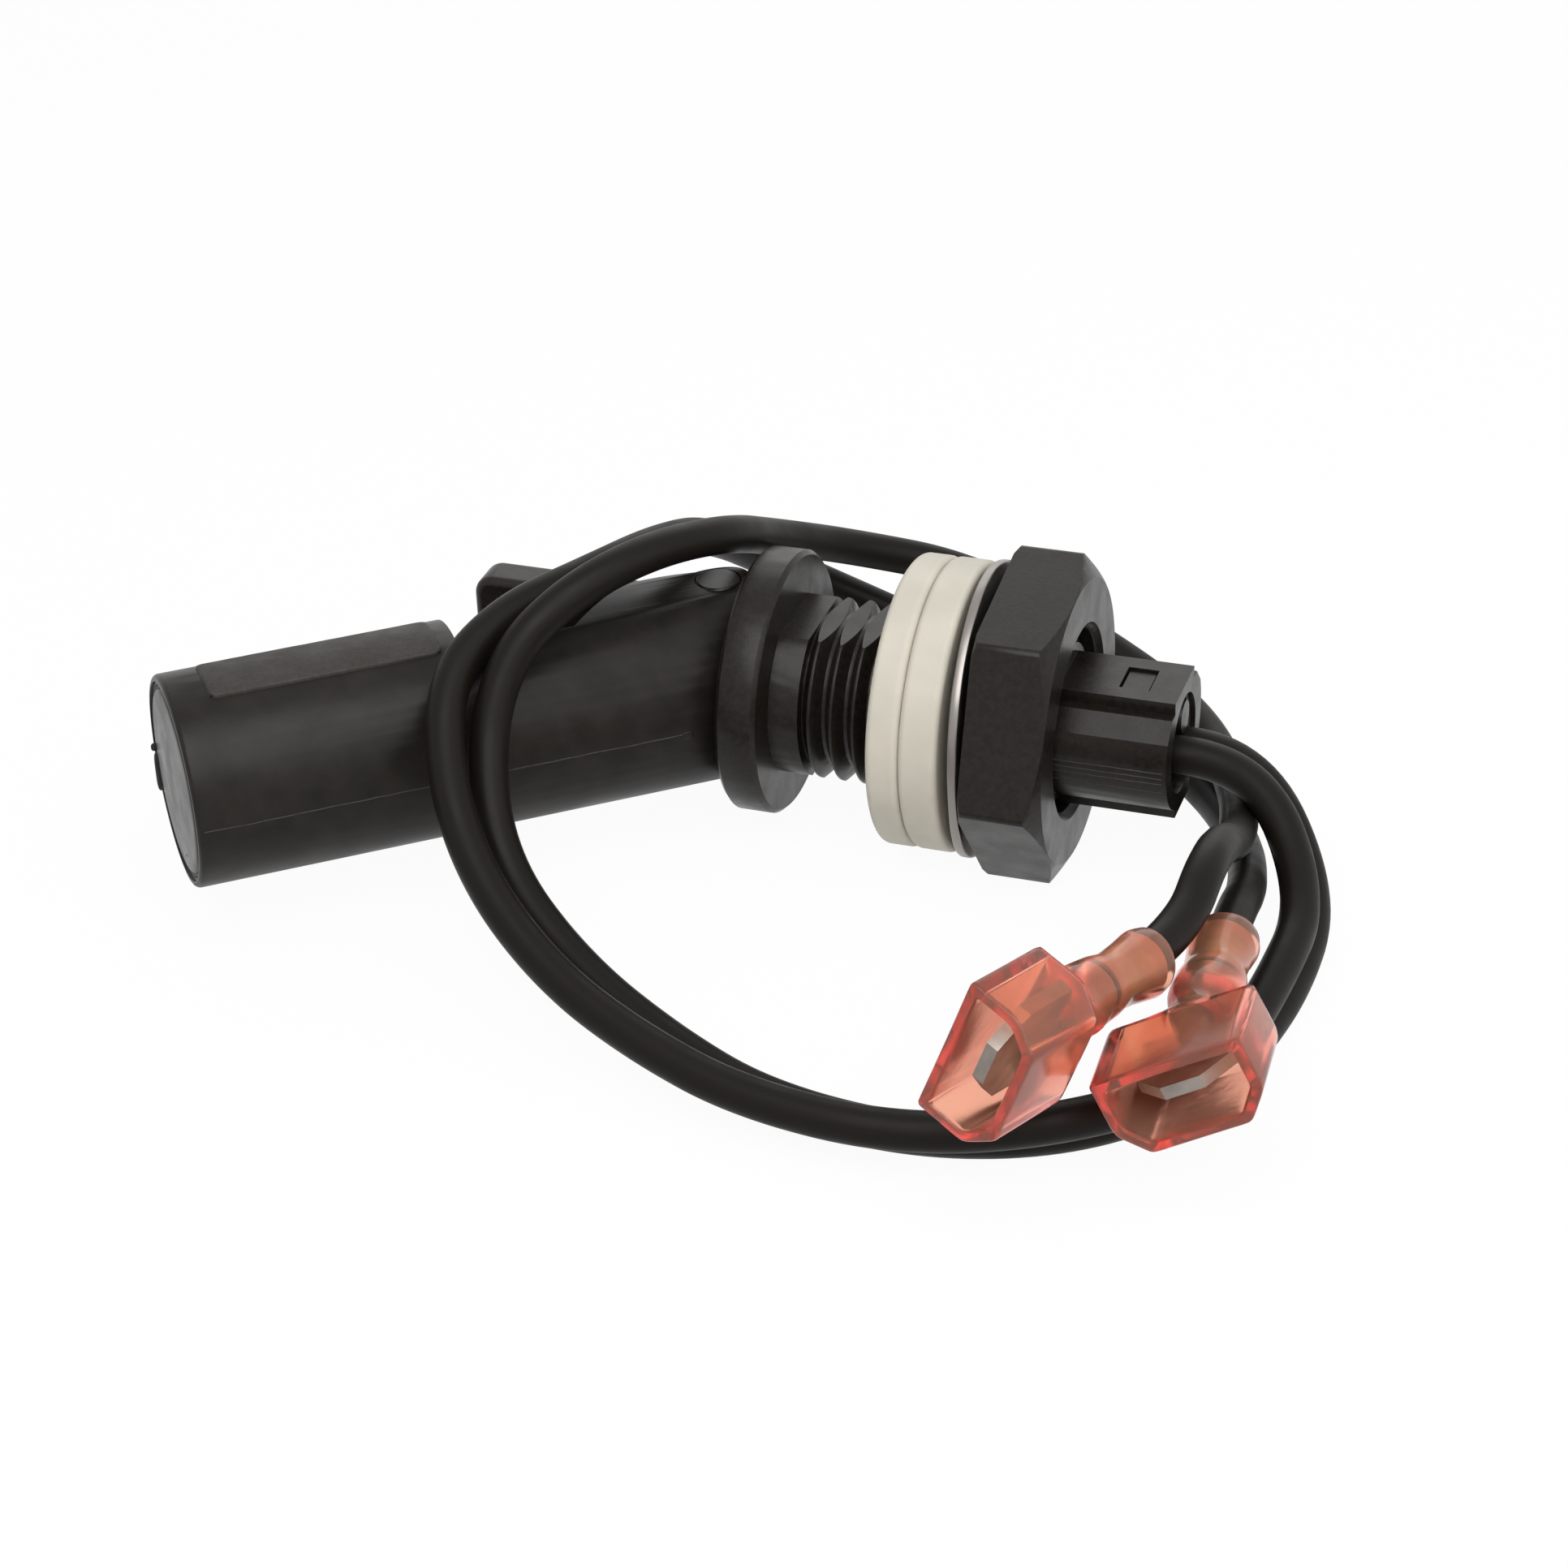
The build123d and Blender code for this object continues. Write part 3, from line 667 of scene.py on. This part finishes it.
def hood_radius(turn, inset):
    """How far a hood's wall is from its middle in each direction: the soft least of the distances
    to its six sides, so that its corners come out rounded."""
    half, top = HOOD_HALF_WIDTH - inset, HOOD_HALF_HEIGHT - inset
    slant_width = HOOD_HALF_WIDTH * math.sin(HOOD_SLANT)
    slant = slant_width + HOOD_SLANT_START * math.cos(HOOD_SLANT) - inset
    up = math.pi / 2
    facing = np.array([0, math.pi, -up, up, up - HOOD_SLANT, up + HOOD_SLANT])
    far = np.array([half, half, top, top, slant, slant])
    share = np.maximum(np.cos(turn[:, None] - facing), 0) / far
    return (share**HOOD_CORNER_POWER).sum(axis=1) ** (-1 / HOOD_CORNER_POWER)


def sleeve(letter):
    """A nylon sleeve: sections carried along its axis, out along the hood, neck and pinched barrel
    and back through the bore. Each section runs from the hood's six-sided wall to an ellipse by a
    share, and two bell-shaped dents press the barrel in from above."""
    origin, across, above, along = terminal_axes(letter)
    turn = np.linspace(0, FULL_TURN, 180, endpoint=False)
    hood, inner = hood_radius(turn, 0), hood_radius(turn, HOOD_WALL)
    depth = SLEEVE_DEPTHS
    share = np.interp(depth, SHOULDER_DEPTHS, SHOULDER_SHARES)
    wide = np.interp(depth, BARREL_DEPTHS, BARREL_WIDE)[:, None]
    high = np.interp(depth, BARREL_DEPTHS, BARREL_HIGH)[:, None]
    oval = 1 / np.sqrt((np.cos(turn) / wide) ** 2 + (np.sin(turn) / high) ** 2)
    dent = sum(np.exp(-(((depth[:, None] - place) / width) ** 2)) for place, width in DENTS)
    oval -= DENT_DEPTH * dent * np.maximum(np.sin(turn), 0) ** 4
    rounding = np.interp(depth, [0, 0.1, 0.3], [0.14, 0.04, 0])[:, None]
    outside = (1 - share[:, None]) * (hood - rounding) + share[:, None] * oval

    inner_depth = np.array([17.2, 17.0, 6.55, 6.5, 6.5, 0.3, 0.1, 0])
    in_barrel = np.array([1, 1, 1, 1, 0, 0, 0, 0])
    bore = np.array([1.66, 1.52, 1.52, 1.55, 0, 0, 0, 0])[:, None]
    widening = np.array([0, 0, 0, 0, 0, 0, 0.04, 0.12])[:, None]
    inside = np.where(in_barrel[:, None] == 1, bore, inner + widening)

    reach = np.concatenate([outside, inside])
    depth = np.concatenate([depth, inner_depth])[:, None]
    middle = -BARREL_DROP * np.concatenate([share, in_barrel])[:, None]
    points = (
        origin
        + (reach * np.cos(turn))[..., None] * across
        + (reach * np.sin(turn) + middle)[..., None] * above
        + (depth + 0 * reach)[..., None] * along
    )
    piece = grid_piece(f"sleeve_{letter}", points, close_u=True, close_v=True)
    return turned_outwards(piece, sharp=48)


def wave_ring():
    """The spring washer: a flat rounded strip carried round the thread, bent towards the nut on
    both sides and towards the gaskets above and below by a cosine of twice the turn."""
    middle, half_width, half_thick, corner_power = 8.05, 1.75, 0.36, 0.3
    seat, wave, dish = 13.27, 0.2, 0.02
    turn = np.linspace(0, FULL_TURN, 240, endpoint=False)[None, :]
    section = np.linspace(0, FULL_TURN, 36, endpoint=False)[:, None]

    def squared_off(value):
        return np.sign(value) * np.abs(value) ** corner_power

    radius = middle + half_width * squared_off(np.cos(section)) + 0.03 * waver(turn * 3, 5)
    bend = seat + wave * np.cos(2 * turn) + 0.03 * np.cos(5 * turn + 1)
    along = bend + half_thick * squared_off(np.sin(section)) + dish * (radius - 8)
    points = np.stack([along, -radius * np.cos(turn), radius * np.sin(turn)], axis=-1)
    return turned_outwards(grid_piece("wave_ring", points, close_u=True, close_v=True), sharp=50)


def tail_ribs():
    """Fine ribs along the tail's near side: beads carried along the stem at set angles, each on a
    slightly wandering line."""
    half_width, height, wander, sunk = 0.05, 0.05, 0.02, 0.01
    along = np.linspace(*TAIL_SPAN, 90)[:, None]
    sideways, lift = bead(along, 12)
    made = []
    for number, place in enumerate((-2, -7, -12, -21)):
        shift = wander * waver(along * 0.7, number) + half_width * sideways
        angle = math.radians(place) + shift / TAIL_RADIUS
        radius = TAIL_RADIUS + height * lift - sunk
        points = np.stack(
            [along + 0 * sideways, -radius * np.cos(angle), radius * np.sin(angle)], axis=-1
        )
        rib = grid_piece(f"tail_rib_{number + 1}", points, close_v=True)
        made.append(turned_outwards(rib, sharp=80))
    return made


def soften(piece):
    """Merges a CAD node's loose triangles and rounds its sharp edges by modifiers."""
    weld = piece.modifiers.new("Weld", "WELD")
    weld.merge_threshold = 0.000004
    bevel = piece.modifiers.new("Soft edges", "BEVEL")
    bevel.width = settings().edge_radius
    bevel.segments = 2
    bevel.limit_method = "ANGLE"
    bevel.angle_limit = math.radians(32)
    bevel.harden_normals = True
    bevel.use_clamp_overlap = True


def route_curve(name, route):
    """A smooth NURBS line whose control points are the route's points."""
    curve = bpy.data.curves.new(name, "CURVE")
    curve.dimensions = "3D"
    spline = curve.splines.new("NURBS")
    spline.points.add(len(route) - 1)
    for point, place in zip(spline.points, route):
        point.co = (place[0] * MM, place[1] * MM, place[2] * MM, 1)
    spline.order_u = 3
    spline.use_endpoint_u = True
    curve.resolution_u = settings().smoothness
    curve.bevel_depth = settings().wire_diameter / 2
    curve.bevel_resolution = 8
    curve.use_fill_caps = True
    piece = bpy.data.objects.new(name, curve)
    bpy.context.scene.collection.objects.link(piece)
    return piece


class FLOATSWITCH_OT_leads(bpy.types.Operator):
    """Lays the two leads along their routes, into their terminals"""

    bl_idname = "floatswitch.leads"
    bl_label = "Lead wires"

    def execute(self, context):
        for letter, route in (("a", ROUTE_A), ("b", ROUTE_B)):
            lead = route_curve(f"lead_{letter}", route)
            paint(lead, "wire_black")
            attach(lead, "stem")
            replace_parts(lead, f"lead_wire_{letter}")
        return {"FINISHED"}


class FLOATSWITCH_OT_mouldings(bpy.types.Operator):
    """Finishes the stem, plug, nut and resin, and adds the ribs on the tail"""

    bl_idname = "floatswitch.mouldings"
    bl_label = "Stem and nut"

    def execute(self, context):
        for name in ("stem_body", "wire_plug", "lock_nut"):
            paint(node(name), "black_moulding")
            soften(node(name))
        paint(node("potting_fill"), "resin")
        for rib in tail_ribs():
            # Each rib takes the paler rough finish, which paints a highlight along its ridge.
            carried(rib, "stem", "black_moulding", "rough_and_highlight_float")
        return {"FINISHED"}


class FLOATSWITCH_OT_float(bpy.types.Operator):
    """Finishes the float and adds its cap, label ground, mould seams and small marks"""

    bl_idname = "floatswitch.float"
    bl_label = "Float"

    def execute(self, context):
        paint(node("float_shell"), "black_float")
        soften(node("float_shell"))
        paint(node("float_end_cap"), "black_float")
        cap = carried(float_cap(), "float", "black_float", "black_moulding")
        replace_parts(cap, "float_end_cap")
        paint(node("float_magnet"), "magnet")
        # The label ground and the seams take the paler rough finish: partly their rough surface,
        # partly a painted highlight along their edges.
        rough_and_highlight_pieces = [
            label_ground(),
            mould_seam("seam_near", 1, SEAM_NEAR_SPAN, 11),
            mould_seam("seam_far", -1, SEAM_FAR_SPAN, 21),
        ]
        for piece in rough_and_highlight_pieces:
            carried(piece, "float", "black_float", "rough_and_highlight_float")
        for name, place, sizes, power, look in FLOAT_LUMPS:
            carried(lump(name, place, sizes, power), "float", "black_float", look)
        return {"FINISHED"}


class FLOATSWITCH_OT_seals(bpy.types.Operator):
    """Finishes the two gaskets and adds the bent spring washer"""

    bl_idname = "floatswitch.seals"
    bl_label = "Gaskets and washer"

    def execute(self, context):
        for name in ("gasket_inner", "gasket_outer"):
            paint(node(name), "gasket_white")
        paint(node("wave_washer"), "spring_steel")
        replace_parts(carried(wave_ring(), "stem", "spring_steel"), "wave_washer")
        return {"FINISHED"}


class FLOATSWITCH_OT_terminals(bpy.types.Operator):
    """Adds the nylon sleeves and finishes the tabs, ferrules and bared ends"""

    bl_idname = "floatswitch.terminals"
    bl_label = "Terminals"

    def execute(self, context):
        for letter in "ab":
            made = carried(sleeve(letter), "stem", "red_nylon")
            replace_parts(made, f"terminal_sleeve_{letter}")
            paint(node(f"terminal_sleeve_{letter}"), "red_nylon")
            paint(node(f"terminal_tab_{letter}"), "tinned_brass")
            paint(node(f"support_ferrule_{letter}"), "bright_tin")
            paint(node(f"stripped_end_{letter}"), "copper")
        return {"FINISHED"}


class FLOATSWITCH_OT_reed(bpy.types.Operator):
    """Finishes the reed switch and its joints inside the stem"""

    bl_idname = "floatswitch.reed"
    bl_label = "Reed switch"

    def execute(self, context):
        paint(node("reed_capsule"), "reed_glass")
        for letter in "ab":
            paint(node(f"reed_blade_{letter}"), "reed_metal")
            paint(node(f"stripped_tail_{letter}"), "copper")
        return {"FINISHED"}


class FLOATSWITCH_OT_stage(bpy.types.Operator):
    """Sets the camera, the pale floor and the soft studio light"""

    bl_idname = "floatswitch.stage"
    bl_label = "Stage"

    def execute(self, context):
        self.camera(context)
        self.floor()
        self.world(context)
        self.lamps(context)
        context.scene.view_settings.view_transform = "Standard"
        return {"FINISHED"}

    def camera(self, context):
        """Places the camera on its solved line of sight, turned by its small roll."""
        azimuth, elevation, roll = (math.radians(angle) for angle in CAMERA_ANGLES)
        back = Vector((
            math.sin(azimuth) * math.cos(elevation),
            -math.cos(azimuth) * math.cos(elevation),
            math.sin(elevation),
        ))
        right = Vector((math.cos(azimuth), math.sin(azimuth), 0))
        up = back.cross(right)
        target = (right * CAMERA_AIM[0] + up * CAMERA_AIM[1]) * MM
        turned_right = right * math.cos(roll) + up * math.sin(roll)
        turned_up = up * math.cos(roll) - right * math.sin(roll)
        camera = bpy.data.objects.new("camera", bpy.data.cameras.new("camera"))
        context.scene.collection.objects.link(camera)
        axes = Matrix((turned_right, turned_up, back)).transposed().to_4x4()
        camera.matrix_world = Matrix.Translation(target + back * CAMERA_DISTANCE * MM) @ axes
        camera.data.sensor_width = CAMERA_SENSOR
        camera.data.lens = settings().lens
        camera.data.clip_start = 0.01
        camera.data.clip_end = 20
        context.scene.camera = camera

    def floor(self):
        """A wide sheet under the part: white to the camera, with the part's shadow on it."""
        line = np.array([-FLOOR_REACH, FLOOR_REACH])
        x, y = np.meshgrid(line, line, indexing="ij")
        floor = grid_piece("floor", np.stack([x, y, np.full_like(x, TABLE_HEIGHT)], axis=-1))
        material, nodes, shader = new_finish(
            "floor_white", FLOOR_GREY, roughness=0.6, Specular_IOR_Level=0.0
        )
        glow = nodes.add("ShaderNodeEmission", {"Color": WHITE, "Strength": 1.0})
        share = nodes.add("ShaderNodeMath", {1: FLOOR_WHITE_SHARE}, operation="MULTIPLY")
        nodes.link(nodes.seen_plainly(), share.inputs[0])
        mix = nodes.add("ShaderNodeMixShader")
        for number, source in enumerate((share, shader, glow)):
            nodes.link(source.outputs[0], mix.inputs[number])
        output = material.node_tree.nodes["Material Output"]
        nodes.link(mix.outputs[0], output.inputs["Surface"])
        floor.data.materials.append(material)

    def world(self, context):
        """White behind the part, and a plain grey sky that lights it."""
        world = bpy.data.worlds.new("studio")
        world.use_nodes = True
        nodes = Nodes(world.node_tree)
        background = world.node_tree.nodes["Background"]
        background.inputs["Color"].default_value = WHITE
        limits = {"To Min": SKY_LIGHT, "To Max": SKY_SEEN}
        strength = nodes.add("ShaderNodeMapRange", limits)
        nodes.link(nodes.seen_plainly(), strength.inputs["Value"])
        nodes.link(strength.outputs["Result"], background.inputs["Strength"])
        context.scene.world = world

    def lamps(self, context):
        """Three wide soft lamps round the part, aimed at its middle."""
        for name, place, width, power in LAMPS:
            lamp = bpy.data.lights.new(name, "AREA")
            lamp.shape = "SQUARE"
            lamp.size = width * MM
            lamp.energy = power
            holder = bpy.data.objects.new(name, lamp)
            context.scene.collection.objects.link(holder)
            place = Vector(place) * MM
            turned = place.to_track_quat("Z", "Y").to_matrix().to_4x4()
            holder.matrix_world = Matrix.Translation(place) @ turned


class FLOATSWITCH_PT_panel(bpy.types.Panel):
    """Lists the sizes, the colours and the steps"""

    bl_idname = "FLOATSWITCH_PT_panel"
    bl_label = "Float level switch"
    bl_space_type = "VIEW_3D"
    bl_region_type = "UI"
    bl_category = "Float switch"

    def draw(self, context):
        for name in FloatSwitchSettings.__annotations__:
            self.layout.prop(context.scene.float_switch, name)
        for step in STEPS:
            self.layout.operator(step.bl_idname)


STEPS = (
    FLOATSWITCH_OT_stage,
    FLOATSWITCH_OT_terminals,
    FLOATSWITCH_OT_leads,
    FLOATSWITCH_OT_mouldings,
    FLOATSWITCH_OT_float,
    FLOATSWITCH_OT_seals,
    FLOATSWITCH_OT_reed,
)
CLASSES = (FloatSwitchSettings, *STEPS, FLOATSWITCH_PT_panel)


def register():
    """Registers the classes and hangs the settings on the scene."""
    for made in CLASSES:
        bpy.utils.register_class(made)
    bpy.types.Scene.float_switch = PointerProperty(type=FloatSwitchSettings)


def unregister():
    """Takes the settings and the classes away again."""
    del bpy.types.Scene.float_switch
    for made in reversed(CLASSES):
        bpy.utils.unregister_class(made)


def main():
    """Builds every piece in order."""
    register()
    for step in STEPS:
        group, name = step.bl_idname.split(".")
        getattr(getattr(bpy.ops, group), name)()


if __name__ == "__main__":
    main()
